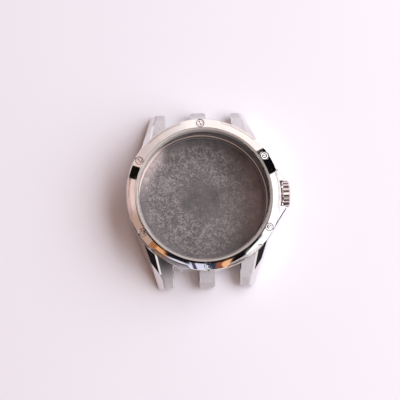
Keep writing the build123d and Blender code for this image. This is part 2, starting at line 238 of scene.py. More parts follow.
def node(tree, kind, inputs=None, **settings):
    """A shader node with its settings and input values; a socket given as input is linked."""
    made = tree.nodes.new(kind)
    for key, value in settings.items():
        setattr(made, key, value)
    for key, value in (inputs or {}).items():
        if isinstance(value, bpy.types.NodeSocket):
            tree.links.new(value, made.inputs[key])
        else:
            made.inputs[key].default_value = value
    return made


def feed(tree, made, **sources):
    """Link sources to a node's inputs, named with an underscore for each space."""
    for key, source in sources.items():
        tree.links.new(source, made.inputs[key.replace("_", " ")])


def maths(tree, operation, first, second=0.0, third=0.0):
    """The result of one Math node."""
    inputs = {0: first, 1: second, 2: third}
    return node(tree, "ShaderNodeMath", inputs, operation=operation).outputs[0]


def times(tree, first, *others):
    """The product of two or more values."""
    for other in others:
        first = maths(tree, "MULTIPLY", first, other)
    return first


def vector_maths(tree, operation, first, second=(0, 0, 0)):
    """The result of one Vector Math node."""
    return node(tree, "ShaderNodeVectorMath", {0: first, 1: second}, operation=operation).outputs


def components(tree, vector):
    """The X, Y and Z sockets of a vector."""
    return node(tree, "ShaderNodeSeparateXYZ", {0: vector}).outputs


def combined(tree, x, y, z):
    """A vector of three values."""
    return node(tree, "ShaderNodeCombineXYZ", {0: x, 1: y, 2: z}).outputs[0]


def noise(tree, vector, scale, **settings):
    """The value of a Noise Texture node."""
    inputs = {"Vector": vector, "Scale": scale, **settings}
    return node(tree, "ShaderNodeTexNoise", inputs).outputs["Fac"]


def fade(tree, value, low, high, out_low=0.0, out_high=1.0):
    """A value mapped smoothly from one range to another."""
    made = node(tree, "ShaderNodeMapRange", {"Value": value, "From Min": low, "From Max": high,
                                             "To Min": out_low, "To Max": out_high},
                interpolation_type="SMOOTHSTEP")
    return made.outputs["Result"]


def blend_colours(tree, share, first, second, blend_type="MIX"):
    """Mix two colours; each may be a socket or red, green and blue."""
    made = node(tree, "ShaderNodeMix", data_type="RGBA", blend_type=blend_type, clamp_factor=True)
    for socket, value in ((made.inputs[0], share), (made.inputs[6], first), (made.inputs[7], second)):
        if isinstance(value, bpy.types.NodeSocket):
            tree.links.new(value, socket)
        elif socket.type == "RGBA":
            socket.default_value = (*value, 1)
        else:
            socket.default_value = value
    return made.outputs[2]


def bump(tree, height, strength, distance):
    """The normal that a height gives through a Bump node."""
    inputs = {"Height": height, "Strength": strength, "Distance": distance}
    return node(tree, "ShaderNodeBump", inputs).outputs[0]


def darker(tint, share):
    """A colour with all its channels scaled."""
    return tuple(channel * share for channel in tint)


def group(name, inputs, outputs, output_type="NodeSocketFloat"):
    """A group that takes a vector and values, with its two ends; built before, it comes without them."""
    if name in bpy.data.node_groups:
        return bpy.data.node_groups[name], None, None
    tree = bpy.data.node_groups.new(name, "ShaderNodeTree")
    add = tree.interface.new_socket
    add(name="Vector", in_out="INPUT", socket_type="NodeSocketVector")
    for socket, default in inputs.items():
        add(name=socket, in_out="INPUT", socket_type="NodeSocketFloat").default_value = default
    for socket in outputs:
        add(name=socket, in_out="OUTPUT", socket_type=output_type)
    return tree, tree.nodes.new("NodeGroupInput"), tree.nodes.new("NodeGroupOutput")


def place_group(tree, made, vector, **inputs):
    """The outputs of a node group put into a material."""
    return node(tree, "ShaderNodeGroup", {"Vector": vector, **inputs}, node_tree=made).outputs


def object_vector(tree):
    """Object coordinates in metres."""
    return node(tree, "ShaderNodeTexCoord").outputs["Object"]


def round_vector(tree):
    """Object coordinates as radius, scaled angle and height."""
    return place_group(tree, round_coordinates(), object_vector(tree))[0]


def round_coordinates():
    """Radius, angle and height about the movement's axis, the angle scaled to metres."""
    tree, start, end = group("Round coordinates", {}, ("Vector",), "NodeSocketVector")
    if start:
        angle_scale = 4 * MM
        x, y, z = components(tree, start.outputs["Vector"])
        radius = maths(tree, "SQRT", maths(tree, "MULTIPLY_ADD", x, x, times(tree, y, y)))
        angle = times(tree, maths(tree, "ARCTAN2", y, x), angle_scale)
        feed(tree, end, Vector=combined(tree, radius, angle, z))
    return tree


def brushed_grain():
    """Fine parallel lines along Y of the incoming coordinates, as a value and a height."""
    tree, start, end = group("Brushed grain", {"Lines": 4000.0, "Stretch": 0.03, "Contrast": 1.0},
                             ("Value", "Height"))
    if start:
        coarse_scale, coarse_share, middle = 0.22, 0.35, 0.5
        lines, stretch = start.outputs["Lines"], combined(tree, 1.0, start.outputs["Stretch"], 1.0)
        squeezed = vector_maths(tree, "MULTIPLY", start.outputs["Vector"], stretch)[0]
        fine = noise(tree, squeezed, lines, Detail=4.0, Roughness=0.6)
        coarse = noise(tree, squeezed, times(tree, lines, coarse_scale), Detail=2.0)
        both = maths(tree, "ADD", times(tree, fine, 1 - coarse_share), times(tree, coarse, coarse_share))
        centred = times(tree, maths(tree, "SUBTRACT", both, middle), start.outputs["Contrast"])
        feed(tree, end, Value=maths(tree, "ADD", centred, middle), Height=both)
    return tree


def handling_marks():
    """Faint smudges and hairline scratches left by handling."""
    tree, start, end = group("Handling marks", {"Smudge scale": 220.0, "Scratch scale": 2600.0},
                             ("Smudge", "Scratch"))
    if start:
        smudged, scratched = (0.42, 0.7), (0.66, 0.74)
        scratch_turn, scratch_stretch = 0.6, (1.0, 0.04, 1.0)
        vector = start.outputs["Vector"]
        smudge = noise(tree, vector, start.outputs["Smudge scale"], Detail=3.0, Distortion=0.6)
        turned = node(tree, "ShaderNodeVectorRotate", {"Vector": vector, "Angle": scratch_turn},
                      rotation_type="Z_AXIS").outputs[0]
        squeezed = vector_maths(tree, "MULTIPLY", turned, scratch_stretch)[0]
        scratch = noise(tree, squeezed, start.outputs["Scratch scale"], Detail=2.0)
        feed(tree, end, Smudge=fade(tree, smudge, *smudged), Scratch=fade(tree, scratch, *scratched))
    return tree


def mottled_dust():
    """Speckles, clumps and clouds, as on blasted metal under dust."""
    tree, start, end = group("Mottled dust", {"Speckle scale": 2300.0, "Clump scale": 720.0,
                                              "Cloud scale": 150.0}, ("Speckle", "Clump", "Cloud"))
    if start:
        for name, detail, distortion, low, high in (("Speckle", 2.0, 0.0, 0.35, 0.66),
                                                    ("Clump", 2.0, 0.3, 0.38, 0.64),
                                                    ("Cloud", 3.0, 0.4, 0.32, 0.68)):
            made = noise(tree, start.outputs["Vector"], start.outputs[name + " scale"], Detail=detail,
                         Roughness=0.68, Distortion=distortion)
            feed(tree, end, **{name: fade(tree, made, low, high)})
    return tree


def turned_rings_and_painted_light():
    """Turned steps as rings of painted highlight, dimmed by painted shade towards the left and lifted
    evenly by painted light at its far left edge.
    """
    tree, start, end = group("Turned rings and painted light", {"Reach": 0.0, "Frequency": FULL_TURN / MM, "Grain": 0.5},
                             ("Ring", "Wave"))
    if start:
        grain_share, ring_crest = 0.4, (-0.1, 0.9)
        painted_shade_span, painted_shade_level = (-12 * MM, 14 * MM), 0.3
        painted_light_span, painted_light_level = (-13 * MM, -9 * MM), 0.7
        # The wave gives the turned steps; its crests become rings of painted highlight
        wave = maths(tree, "SINE", times(tree, start.outputs["Reach"], start.outputs["Frequency"]))
        grained = maths(tree, "MULTIPLY_ADD", start.outputs["Grain"], grain_share, wave)
        ring = fade(tree, grained, *ring_crest)
        across = components(tree, start.outputs["Vector"])[0]
        # Painted shade dims the rings towards the left; painted light lifts them at the far left edge
        ring = times(tree, ring, fade(tree, across, *painted_shade_span, painted_shade_level, 1.0))
        ring = maths(tree, "MAXIMUM", ring, fade(tree, across, *painted_light_span, painted_light_level, 0.0))
        # Ring carries the painted highlight rings with their painted shade and light
        feed(tree, end, Ring=ring, Wave=wave)
    return tree


def new_material(name, **sockets):
    """A material with a Principled BSDF and its constants; built before, it comes without the two."""
    if name in bpy.data.materials:
        return bpy.data.materials[name], None, None
    material = bpy.data.materials.new(name)
    material.use_nodes = True
    tree = material.node_tree
    shader = tree.nodes["Principled BSDF"]
    for key, value in sockets.items():
        shader.inputs[key.replace("_", " ")].default_value = value
    return material, tree, shader


# Materials


def polished_steel(name, tint, low=0.006, high=0.018):
    """Mirror polished steel with faint smudges and hairlines."""
    material, tree, shader = new_material(name, Metallic=1.0)
    if tree:
        scratch_share, most_worn = 0.6, 1.2
        smudge_share, smudge_tone = 0.5, 0.93
        smudge, scratch = place_group(tree, handling_marks(), object_vector(tree))
        worn = maths(tree, "MULTIPLY_ADD", scratch, scratch_share, smudge)
        smudged = times(tree, smudge, smudge_share)
        feed(tree, shader, Base_Color=blend_colours(tree, smudged, tint, darker(tint, smudge_tone)),
             Roughness=fade(tree, worn, 0.0, most_worn, low, high),
             Normal=bump(tree, scratch, 0.05, 0.0006 * MM))
    return material


def brushed_steel(name, tint, round_grain=False, lines=3000.0, low=0.26, high=0.42, metal=1.0, painted_shade=None):
    """Steel brushed along Y, or turned about the movement's axis; painted shade may darken it towards one
    place.
    """
    material, tree, shader = new_material(name, Metallic=metal)
    if tree:
        rough_span, tone_span, contrast = (0.1, 0.9), (0.15, 0.85), 1.5
        dark, light = darker(tint, 0.86), darker(tint, 1.1)
        vector = round_vector(tree) if round_grain else object_vector(tree)
        value, height = place_group(tree, brushed_grain(), vector, Lines=lines, Contrast=contrast)
        colours = blend_colours(tree, fade(tree, value, *tone_span), dark, light)
        # Painted shade: the colour darkens towards one place
        if painted_shade:
            middle, reach, share = painted_shade
            away = vector_maths(tree, "DISTANCE", object_vector(tree), middle)["Value"]
            near = fade(tree, away, 0.0, reach, 1.0, 0.0)
            colours = blend_colours(tree, near, colours, darker(tint, share))
        feed(tree, shader, Roughness=fade(tree, value, *rough_span, low, high), Base_Color=colours,
             Normal=bump(tree, height, 0.35, 0.01 * MM))
    return material


def ringed_steel(name, dark, light, pitch, along=0):
    """Steel with turned steps as fine rings, across the radius or along another round coordinate; its
    colour runs from the dark to the light tone in painted highlight rings.
    """
    material, tree, shader = new_material(name, Metallic=0.1)
    if tree:
        rough_span, roughness = (0.2, 0.8), (0.3, 0.45)
        vector = round_vector(tree)
        grain = place_group(tree, brushed_grain(), vector, Lines=3000.0)[0]
        ring, wave = place_group(tree, turned_rings_and_painted_light(), object_vector(tree), Grain=grain,
                                 Reach=components(tree, vector)[along], Frequency=FULL_TURN / pitch)
        # Base colour: rings of painted highlight, from a shaded dark tone to a lit light tone
        feed(tree, shader, Base_Color=blend_colours(tree, ring, dark, light),
             Roughness=fade(tree, grain, *rough_span, *roughness),
             Normal=bump(tree, wave, 0.4, 0.03 * MM))
    return material


def mottled_floor(name, dark, light):
    """Inner face of the back: mottled, calmer in the middle and on the right, where less mottle makes
    painted shade; painted warm light on the right, painted light near the right rim and at its far left
    rim.
    """
    material, tree, shader = new_material(name, Metallic=0.35)
    if tree:
        # Spans from the axis, across and along, in metres
        calm_middle, calm_rim, calm_right = (3.5 * MM, 9 * MM), (14.5 * MM, 17.5 * MM), (3 * MM, 14 * MM)
        pale_rim, painted_light_right = (14 * MM, 17.5 * MM), (10 * MM, 17 * MM)
        lit_rim, lit_left, lit_far = (13 * MM, 17.5 * MM), (-12 * MM, -8.5 * MM), (-1 * MM, 11 * MM)
        plain, painted_warm_light, pale, lit = (1.0, 1.0, 1.0), (1.0, 0.86, 0.80), (1.75, 1.42, 1.32), (3.5, 3.4, 3.35)
        roughness = (0.62, 0.45)
        vector = object_vector(tree)
        speckle, clump, cloud = place_group(tree, mottled_dust(), vector)
        radius = components(tree, round_vector(tree))[0]
        across, along = components(tree, vector)[:2]
        right = fade(tree, across, *calm_right)
        # On the right, less mottle darkens the floor: painted shade
        grain = times(tree, speckle, maths(tree, "MULTIPLY_ADD", clump, 0.8, 0.3),
                      fade(tree, radius, *calm_middle, 0.25, 1.0),
                      fade(tree, radius, *calm_rim, 1.0, 0.3),
                      maths(tree, "MULTIPLY_ADD", right, -0.7, 1.0))
        mask = maths(tree, "ADD", maths(tree, "MULTIPLY_ADD", cloud, 0.2, 0.1), grain)
        mask = maths(tree, "ADD", mask, fade(tree, radius, *pale_rim, 0.0, 0.15))
        glow = times(tree, maths(tree, "POWER", fade(tree, radius, *lit_rim), 2.0),
                     fade(tree, across, *lit_left, 1.0, 0.0), fade(tree, along, *lit_far))
        # Painted light: a warm tint on the right, a paler tone near the right rim and a glow at the far
        # left rim
        painted_light_tint = blend_colours(tree, right, plain, painted_warm_light)
        painted_light_tint = blend_colours(tree, fade(tree, across, *painted_light_right), painted_light_tint, pale)
        painted_light_tint = blend_colours(tree, glow, painted_light_tint, lit)
        tones = blend_colours(tree, mask, dark, light)
        feed(tree, shader, Base_Color=blend_colours(tree, 1.0, tones, painted_light_tint, "MULTIPLY"),
             Roughness=fade(tree, speckle, 0.0, 1.0, *roughness),
             Normal=bump(tree, speckle, 0.25, 0.02 * MM))
    return material


def nylon(name, tint):
    """Slightly translucent moulded nylon with turning lines."""
    material, tree, shader = new_material(name, IOR=1.53, Subsurface_Weight=0.15,
                                          Subsurface_Scale=0.3 * MM)
    if tree:
        rough_span, roughness = (0.2, 0.8), (0.35, 0.5)
        dark, light = darker(tint, 0.85), darker(tint, 1.15)
        value, height = place_group(tree, brushed_grain(), round_vector(tree), Lines=3500.0)
        feed(tree, shader, Base_Color=blend_colours(tree, value, dark, light),
             Roughness=fade(tree, value, *rough_span, *roughness),
             Normal=bump(tree, height, 0.3, 0.01 * MM))
    return material


def rubber(name, tint):
    """Matt rubber with a fine moulded skin."""
    material, tree, shader = new_material(name)
    if tree:
        worn_tone, roughness = 1.8, (0.55, 0.75)
        speckle, _, cloud = place_group(tree, mottled_dust(), object_vector(tree))
        feed(tree, shader, Base_Color=blend_colours(tree, cloud, tint, darker(tint, worn_tone)),
             Roughness=fade(tree, speckle, 0.0, 1.0, *roughness),
             Normal=bump(tree, speckle, 0.2, 0.01 * MM))
    return material


def watch_glass(name):
    """Clear glass that lets light through to the inside, with a trace of dust."""
    material, tree, shader = new_material(name, Transmission_Weight=1.0, IOR=1.5, Metallic=0.0)
    if tree:
        clean, dusty, shadow = (0.985, 0.98, 0.98), (0.96, 0.955, 0.955), (0.94, 0.935, 0.935, 1)
        dust_span, dust_roughness = (0.3, 1.0), 0.004
        speckle, _, cloud = place_group(tree, mottled_dust(), object_vector(tree))
        feed(tree, shader, Roughness=fade(tree, cloud, *dust_span, 0.0, dust_roughness),
             Base_Color=blend_colours(tree, speckle, clean, dusty))
        clear = node(tree, "ShaderNodeBsdfTransparent", {"Color": shadow}).outputs[0]
        in_shadow = node(tree, "ShaderNodeLightPath").outputs["Is Shadow Ray"]
        mix = node(tree, "ShaderNodeMixShader", {0: in_shadow, 1: shader.outputs[0], 2: clear})
        output = next(item for item in tree.nodes if item.type == "OUTPUT_MATERIAL")
        feed(tree, output, Surface=mix.outputs[0])
    return material


def painted_shade_recess(tints):
    """Steel darkened with painted shade, for slots, grooves, counterbores and the arcs' walls."""
    return brushed_steel("Painted shade recess", tints.recess)


def screw_finishes(tints):
    """Polished heads, with painted shade in their slots and grooves."""
    return [polished_steel("Screw steel", tints.screw, 0.012, 0.03), painted_shade_recess(tints)]


# Mesh helpers


def finish_piece(form, name, body, materials, replaced):
    """Turn a bmesh into a piece that rides on a body, with crisp flats and soft edges."""
    for edge in form.edges:
        by_flat = any(face.calc_area() > LARGE_FLAT for face in edge.link_faces)
        edge.smooth = edge.is_manifold and edge.calc_face_angle() < (SLIGHT if by_flat else SHARP)
    for face in form.faces:
        face.smooth = abs(face.normal.z) < LEVEL
    piece = new_object(form, name)
    for material in materials:
        piece.data.materials.append(material)
    weighted = piece.modifiers.new("Even shading", "WEIGHTED_NORMAL")
    weighted.keep_sharp = True
    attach(piece, body)
    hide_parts(*replaced)


def new_object(form, name):
    """An object in the scene with a bmesh's form, which is used up."""
    mesh = bpy.data.meshes.new(name)
    form.to_mesh(mesh)
    form.free()
    made = bpy.data.objects.new(name, mesh)
    bpy.context.scene.collection.objects.link(made)
    return made


def welded_copy(cad_node):
    """A CAD node's mesh with its corners merged and its flat faces whole again."""
    form = bmesh.new()
    form.from_mesh(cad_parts[cad_node].data)
    bmesh.ops.remove_doubles(form, verts=form.verts, dist=WELD)
    bmesh.ops.dissolve_limit(form, angle_limit=FLAT, verts=form.verts, edges=form.edges)
    return form


def round_edges(form, width, wanted, least_angle=math.radians(20), segments=2, clamp=True):
    """Round the sharp edges that a test picks."""
    edges = [edge for edge in form.edges
             if edge.is_manifold and edge.calc_face_angle() > least_angle and wanted(edge)]
    bmesh.ops.bevel(form, geom=edges, offset=width, offset_type="OFFSET", segments=segments, profile=0.5,
                    affect="EDGES", clamp_overlap=clamp, material=-1)


def lathe(outline, closed=True, steps=128):
    """Spin an outline of radius and height points about Z; an open one starts and ends on the axis."""
    form = bmesh.new()
    points = [form.verts.new((radius, 0, height)) for radius, height in outline]
    pairs = list(zip(points, points[1:])) + ([(points[-1], points[0])] if closed else [])
    edges = [form.edges.new(pair) for pair in pairs]
    bmesh.ops.spin(form, geom=points + edges, cent=(0, 0, 0), axis=(0, 0, 1), angle=FULL_TURN,
                   steps=steps, use_merge=True, use_duplicate=False)
    bmesh.ops.remove_doubles(form, verts=form.verts, dist=FINE_WELD)
    bmesh.ops.dissolve_degenerate(form, edges=form.edges, dist=FINE_WELD)
    bmesh.ops.recalc_face_normals(form, faces=form.faces)
    return form


def rotate(form, angle, axis):
    """Turn a whole bmesh about the origin."""
    bmesh.ops.rotate(form, cent=(0, 0, 0), matrix=Matrix.Rotation(angle, 3, axis), verts=form.verts)


def from_axis(point):
    """Distance of a point from the movement's axis, seen from above."""
    return math.hypot(point.x, point.y)


def edge_radius(edge):
    """Distance of an edge's middle from the movement's axis."""
    return from_axis((edge.verts[0].co + edge.verts[1].co) / 2)


def lowest(edge):
    """Height of an edge's lower end."""
    return min(vert.co.z for vert in edge.verts)


def boolean(form, cutter):
    """The first form without the second."""
    body, tool = new_object(form, "cutting"), new_object(cutter, "cutting")
    modifier = body.modifiers.new("Cut", "BOOLEAN")
    modifier.object = tool
    modifier.operation = "DIFFERENCE"
    modifier.solver = "EXACT"
    bpy.context.view_layer.update()
    result = bmesh.new()
    result.from_object(body, bpy.context.evaluated_depsgraph_get())
    for part in (body, tool):
        mesh = part.data
        bpy.data.objects.remove(part)
        bpy.data.meshes.remove(mesh)
    return result


def joined(forms):
    """Several bmeshes in one."""
    whole = bmesh.new()
    for form in forms:
        mesh = bpy.data.meshes.new("joining")
        form.to_mesh(mesh)
        form.free()
        whole.from_mesh(mesh)
        bpy.data.meshes.remove(mesh)
    return whole


# Screws


def screw_angles(shift=0.0):
    """Angles of the screws about the axis, from twelve o'clock on, or shifted by a share of a step."""
    count = bpy.context.scene.watchcase_bezel.screw_count
    return [math.pi / 2 - FULL_TURN * (order - shift) / count for order in range(count)]


def screw_distance(point):
    """Distance of a point from the axis of the nearest bezel screw, seen from above."""
    circle = screw_high.y - bpy.context.scene.watchcase_bezel.head_radius
    return min(math.hypot(point.x - circle * math.cos(angle), point.y - circle * math.sin(angle))
               for angle in screw_angles())


def cut_slot(form, width, depth, reach, angle):
    """Cut a driver's slot into the head of a screw that stands with its top at the origin."""
    cutter = bmesh.new()
    bmesh.ops.create_cube(cutter, size=1.0)
    bmesh.ops.scale(cutter, vec=(2 * reach, width, 2 * depth), verts=cutter.verts)
    rotate(cutter, angle, "Z")
    return boolean(form, cutter)


def slotted_screw(sizes, shank_length, angle, middle=((0, 0),), slot_reach=None):
    """A slotted screw with its head's top at the origin; the outline's middle may have a ring groove."""
    edge_share, recess_share, overrun = 0.09, 0.9, 1.2
    radius, base = sizes.head_radius, -sizes.head_height
    edge = radius * edge_share
    outline = [*middle, (radius - edge, 0), (radius, -edge), (radius, base), (sizes.shank_radius, base),
               (sizes.shank_radius, base - shank_length), (0, base - shank_length)]
    form = lathe(outline, closed=False, steps=48)
    form = cut_slot(form, sizes.slot_width, sizes.slot_depth, slot_reach or radius * overrun, angle)
    # Faces down in the slot and the ring groove get painted shade
    for face in form.faces:
        centre = face.calc_center_median()
        sunk = base * recess_share < centre.z < -edge * 1.05
        if sunk and from_axis(centre) < radius * recess_share:
            face.material_index = 1
    return form


def ring_groove(sizes):
    """Outline of a bezel screw's head from its domed middle out over its ring groove."""
    outer, depth, dome_shares = sizes.ring_radius, sizes.ring_depth, (0, 0.3, 0.55, 0.8, 1)
    inner = outer - sizes.ring_width
    dome = [(inner * share, -sizes.dome * share ** 2) for share in dome_shares]
    return [*dome, (inner, -depth), (outer, -depth), (outer, 0)]


def seat_screws(screws, angles, circle, top, heads_down=False):
    """Screws set on a circle at their angles, in one bmesh."""
    for form, angle in zip(screws, angles):
        if heads_down:
            rotate(form, math.pi, "X")
        seat = Vector((circle * math.cos(angle), circle * math.sin(angle), top))
        bmesh.ops.translate(form, vec=seat, verts=form.verts)
    return joined(screws)


# Pieces


def case_slope(face, sizes):
    """Whether a face is one of the brushed slopes of the lugs and tabs."""
    least_rise, most_aside = 0.5, 0.06
    middle, normal = face.calc_center_median(), face.normal
    on_lug = abs(middle.x) > sizes.lug_inner and abs(middle.y) > sizes.lug_root
    on_tab = abs(middle.x) < sizes.tab_half and abs(middle.y) > sizes.tab_root
    return (on_lug or on_tab) and normal.z > least_rise and abs(normal.x) < most_aside


def case_finish(face, sizes):
    """Which finish a face of the middle case has."""
    polished, satin, wall, flange = range(4)
    ledge_rise, tip_rise, least_slope = 0.5, 0.55, 0.6 * MM * MM
    middle, rise = face.calc_center_median(), face.normal.z
    if from_axis(middle) < sizes.bore:
        return flange if rise > ledge_rise and middle.z < (case_low.z + case_high.z) / 2 else wall
    on_tip = abs(middle.y) > sizes.lug_tip and abs(middle.x) > sizes.lug_outer and rise > tip_rise
    return satin if on_tip or (case_slope(face, sizes) and face.calc_area() > least_slope) else polished


class WATCHCASE_OT_middle_case(bpy.types.Operator):
    """Middle case: brushed slopes, polished bevels and flanks, turned inside walls"""
    bl_idname = "watchcase.middle_case"
    bl_label = "Middle Case"

    def execute(self, context):
        sizes, tints = context.scene.watchcase_case, context.scene.watchcase_finishes
        form = welded_copy("mid_case")
        least_run, strip_angle = 1.2 * MM, math.radians(15)

        def beside_slope(edge):
            """Whether a lengthwise edge on a lug's outer part bounds its brushed slope."""
            run = edge.verts[1].co - edge.verts[0].co
            lengthwise = abs(run.y) > least_run and abs(run.y) > abs(run.x)
            on_slope = sum(case_slope(face, sizes) for face in edge.link_faces)
            return lengthwise and on_slope == 1 and abs(edge.verts[0].co.x) > sizes.lug_outer

        round_edges(form, sizes.strip, beside_slope, strip_angle, segments=1, clamp=False)
        round_edges(form, sizes.edge, lambda edge: edge_radius(edge) > sizes.bore, ROUNDED)
        for face in form.faces:
            face.material_index = case_finish(face, sizes)
        # Painted shade on one lug's brushed slope, next to the bezel
        painted_shade = (sizes.painted_shade_place, sizes.painted_shade_reach, 0.1)
        # Shaded and lit copies of the steel tones, for the painted highlight rings of the wall and flange
        wall_painted_shade, wall_painted_highlight = darker(tints.inner, 0.55), darker(tints.inner, 2.4)
        flange_painted_shade = darker(tints.flange, 0.1)
        finish_piece(form, "middle_case", "case", [
            polished_steel("Polished steel", tints.polished),
            brushed_steel("Brushed steel", tints.brushed, lines=5200.0, low=0.42, high=0.56, metal=0.4,
                          painted_shade=painted_shade),
            ringed_steel("Inside wall", wall_painted_shade, wall_painted_highlight, sizes.wall_pitch, along=2),
            ringed_steel("Flange steel", flange_painted_shade, tints.flange, sizes.flange_pitch)], ["mid_case"])
        return {"FINISHED"}


def bezel_finish(face, sizes):
    """Which finish a face of the bezel has."""
    polished, arc, inside, recess = range(4)
    slack, wide_slack = 0.02 * MM, 0.05 * MM
    arc_inner, arc_floor = bezel_radius - sizes.arc_width, bezel_top - sizes.arc_depth
    middle, rise = face.calc_center_median(), face.normal.z
    nearest = min(from_axis(vert.co) for vert in face.verts)
    if rise > 0.95 and abs(middle.z - arc_floor) < wide_slack and nearest > arc_inner - 0.1 * MM:
        return arc
    # The counterbores and the walls of the sunk arcs get painted shade
    if screw_distance(middle) < sizes.head_radius + 0.2 * MM and middle.z < bezel_top - 0.03 * MM:
        return recess
    in_arc = arc_inner - 0.4 * MM < nearest < bezel_radius - 0.3 * MM
    if in_arc and abs(rise) < 0.6 and arc_floor - slack < middle.z < bezel_top - slack:
        return recess
    return inside if from_axis(middle) < ring_high.x + wide_slack and rise < 0.9 else polished


class WATCHCASE_OT_bezel(bpy.types.Operator):
    """Polished bezel with satin floors in its sunk arcs"""
    bl_idname = "watchcase.bezel"
    bl_label = "Bezel"

    def execute(self, context):
        sizes, tints = context.scene.watchcase_bezel, context.scene.watchcase_finishes
        form = welded_copy("bezel")
        arc_inner = bezel_radius - sizes.arc_width - 0.02 * MM
        crest, foot = bezel_top - 0.05 * MM, bezel_low.z + 1 * MM
        round_edges(form, sizes.arc_edge,
                    lambda edge: lowest(edge) > crest and edge_radius(edge) > arc_inner)
        round_edges(form, sizes.edge, lambda edge: lowest(edge) > foot, ROUNDED)
        for face in form.faces:
            face.material_index = bezel_finish(face, sizes)
        finish_piece(form, "polished_bezel", "case", [
            polished_steel("Polished steel", tints.polished),
            brushed_steel("Arc steel", tints.arc, round_grain=True, lines=2500.0, low=0.02, high=0.045),
            brushed_steel("Turned inner steel", tints.inner, round_grain=True),
            painted_shade_recess(tints)], ["bezel"])
        return {"FINISHED"}


class WATCHCASE_OT_bezel_screws(bpy.types.Operator):
    """Slotted bezel screws with a ring groove in each head"""
    bl_idname = "watchcase.bezel_screws"
    bl_label = "Bezel Screws"

    def execute(self, context):
        sizes, tints = context.scene.watchcase_bezel, context.scene.watchcase_finishes
        slot_turns = (25, 130, 75, 10, 100, 155)
        angles = screw_angles()
        shank_length = bezel_top - sizes.head_height - screw_low.z
        screws = [slotted_screw(sizes, shank_length, angle + math.radians(slot), ring_groove(sizes),
                                sizes.ring_radius)
                  for angle, slot in zip(angles, itertools.cycle(slot_turns))]
        form = seat_screws(screws, angles, screw_high.y - sizes.head_radius, bezel_top)
        finish_piece(form, "dished_screws", "case", screw_finishes(tints),
                     ["bezel_screws"])
        return {"FINISHED"}


class WATCHCASE_OT_glass(bpy.types.Operator):
    """Flat watch glass with a bevelled edge"""
    bl_idname = "watchcase.glass"
    bl_label = "Glass"

    def execute(self, context):
        sizes = context.scene.watchcase_glass
        radius, low, high = glass_high.x, glass_low.z, glass_high.z
        form = lathe([(0, low), (radius, low), (radius, high - sizes.bevel_height),
                      (radius - sizes.bevel_width, high), (0, high)], closed=False, steps=192)
        round_edges(form, sizes.edge, lambda edge: True)
        finish_piece(form, "flat_glass", "case", [watch_glass("Watch glass")], ["crystal"])
        return {"FINISHED"}


class WATCHCASE_OT_glass_ring(bpy.types.Operator):
    """Nylon ring round the glass, with fine grooves in its top"""
    bl_idname = "watchcase.glass_ring"
    bl_label = "Glass Ring"

    def execute(self, context):
        sizes, tints = context.scene.watchcase_glass, context.scene.watchcase_finishes
        outer, low, top = ring_high.x, ring_low.z, ring_high.z
        inner, shelf = outer - sizes.ring_wall, low + sizes.ring_foot
        foot = min(from_axis(vert.co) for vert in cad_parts["crystal_gasket"].data.vertices)
        pitch = sizes.ring_wall / sizes.groove_count
        crests = []
        for order in range(sizes.groove_count):
            for share, drop in ((0.1, 0), (0.6, 0), (0.68, sizes.ring_groove), (1.0, sizes.ring_groove)):
                reach = (order + share) * pitch
                crests.append((outer - reach, top - drop - sizes.ring_fall * reach / sizes.ring_wall))
        form = lathe([(foot, low), (outer, low), (outer, top - sizes.ring_groove), *crests,
                      (inner, shelf), (foot, shelf)], steps=192)
        finish_piece(form, "nylon_ring", "case", [nylon("Nylon", tints.nylon)],
                     ["crystal_gasket"])
        return {"FINISHED"}


class WATCHCASE_OT_back(bpy.types.Operator):
    """Back: grained outside, mottled inside"""
    bl_idname = "watchcase.back"
    bl_label = "Back"

    def execute(self, context):
        sizes, tints = context.scene.watchcase_case, context.scene.watchcase_finishes
        form = welded_copy("case_back")
        floor_depth, least_rise = 0.1 * MM, 0.9
        round_edges(form, sizes.back_edge, lambda edge: True, ROUNDED)
        for face in form.faces:
            on_floor = face.calc_center_median().z > back_high.z - floor_depth
            if on_floor and face.normal.z > least_rise:
                face.material_index = 1
        finish_piece(form, "grained_back", "back", [
            brushed_steel("Back steel", tints.back, round_grain=True, lines=2600.0, low=0.22, high=0.4),
            mottled_floor("Mottled floor", tints.floor_dark, tints.floor_light)], ["case_back"])
        return {"FINISHED"}


class WATCHCASE_OT_back_screws(bpy.types.Operator):
    """Small slotted screws of the back"""
    bl_idname = "watchcase.back_screws"
    bl_label = "Back Screws"

    def execute(self, context):
        sizes, tints = context.scene.watchcase_back_screws, context.scene.watchcase_finishes
        first_slot, next_slot = 40, 67
        angles = screw_angles(shift=0.5)
        shank_length = back_screw_high.z - back_screw_low.z - sizes.head_height
        screws = [slotted_screw(sizes, shank_length, math.radians(first_slot + next_slot * order))
                  for order in range(len(angles))]
        circle = back_screw_high.x - sizes.head_radius
        form = seat_screws(screws, angles, circle, back_screw_low.z, heads_down=True)
        finish_piece(form, "slotted_back_screws", "back", screw_finishes(tints),
                     ["back_screws"])
        return {"FINISHED"}


def fluted_loop(form, sizes, height):
    """A loop of edges with the crown's grooves, at a height."""
    groove_power = 0.7
    made = bmesh.ops.create_circle(form, segments=sizes.flutes * sizes.flute_steps, radius=crown_radius)
    for vert in made["verts"]:
        groove = max(0.0, math.cos(math.atan2(vert.co.y, vert.co.x) * sizes.flutes)) ** groove_power
        vert.co *= 1 - groove * sizes.flute_depth / crown_radius
        vert.co.z = height
    return list(form.edges)


